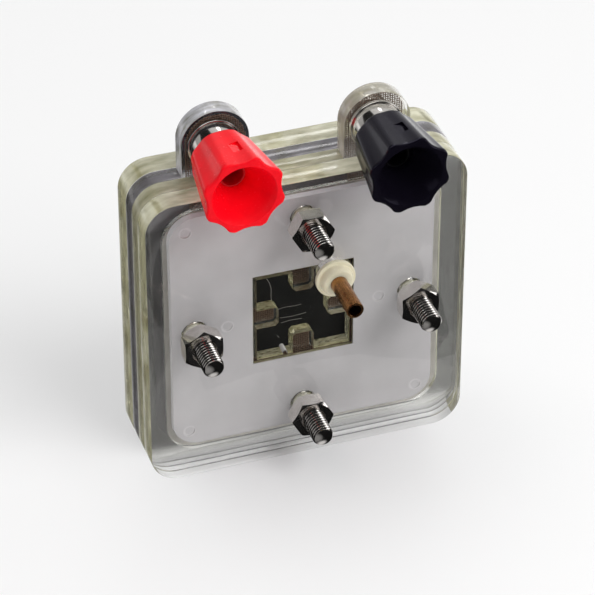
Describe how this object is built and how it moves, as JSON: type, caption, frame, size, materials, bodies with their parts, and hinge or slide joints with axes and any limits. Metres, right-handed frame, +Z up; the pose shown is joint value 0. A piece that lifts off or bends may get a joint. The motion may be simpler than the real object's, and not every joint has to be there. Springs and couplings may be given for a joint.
{
  "type": "hydrogen fuel cell demonstrator",
  "caption": "Square clear-plastic hydrogen fuel cell for teaching: clamped plates round a membrane, a gas tube in a grommet, and red and black binding posts on ears.",
  "frame": {"origin": "middle of the plates' bottom faces, which the part stands on", "axes": "+Z up, -Y out of the front cover, +X to the right seen from the front"},
  "size_m": [0.06, 0.0408, 0.0736],
  "materials": {
    "clear_plastic": "polished clear acrylic with a slight yellow-green tint",
    "smoke_plastic": "polished smoke-grey acrylic",
    "grey_rubber": "matte moulded sheet",
    "mesh": "fine dull metal mesh",
    "carbon": "matte carbon cloth",
    "membrane_film": "thin film",
    "stainless": "bright rolled thread and machined flats",
    "nickel_plate": "bright nickel plate",
    "ivory_rubber": "satin",
    "copper_tube": "dull drawn tube",
    "red_plastic": "glossy moulded",
    "black_plastic": "glossy moulded",
    "insert_brass": "machined"
  },
  "bodies": {
    "cell": {"front_cover": "clear_plastic", "front_gasket": "grey_rubber", "front_frame": "clear_plastic", "front_collector": "mesh", "front_electrode": "carbon", "membrane": "membrane_film", "rear_electrode": "carbon", "rear_collector": "mesh", "rear_frame": "smoke_plastic", "rear_gasket": "grey_rubber", "back_cover": "clear_plastic", "clamp_bolts": "stainless", "clamp_nuts": "stainless", "bolt_washers": "stainless", "hydrogen_grommet": "ivory_rubber", "hydrogen_tube": "copper_tube", "oxygen_grommet": "ivory_rubber", "oxygen_tube": "copper_tube", "red_washer": "nickel_plate", "red_stem": "nickel_plate", "red_lock_washer": "stainless", "red_nut": "stainless", "black_washer": "nickel_plate", "black_stem": "nickel_plate", "black_lock_washer": "stainless", "black_nut": "stainless"},
    "red_insert": {"red_insert": "insert_brass"},
    "red_knob": {"red_knob": "red_plastic"},
    "black_insert": {"black_insert": "insert_brass"},
    "black_knob": {"black_knob": "black_plastic"}
  },
  "joints": [
    {"name": "red_knob_travel", "type": "slide", "parent": "cell", "child": "red_insert", "axis": [0, -1, 0], "range_m": [0, 0.004]},
    {"name": "red_knob_turn", "type": "hinge", "parent": "red_insert", "child": "red_knob", "pos_m": [-0.01485, -0.01145, 0.0662], "axis": [0, -1, 0], "range_deg": [0, 1440]},
    {"name": "black_knob_travel", "type": "slide", "parent": "cell", "child": "black_insert", "axis": [0, -1, 0], "range_m": [0, 0.004]},
    {"name": "black_knob_turn", "type": "hinge", "parent": "black_insert", "child": "black_knob", "pos_m": [0.01395, -0.01495, 0.0662], "axis": [0, -1, 0], "range_deg": [0, 1440]}
  ],
  "couplings": [
    {"joint": "red_knob_turn", "follows": "red_knob_travel", "rad_per_m": 6283.2},
    {"joint": "black_knob_turn", "follows": "black_knob_travel", "rad_per_m": 6283.2}
  ]
}
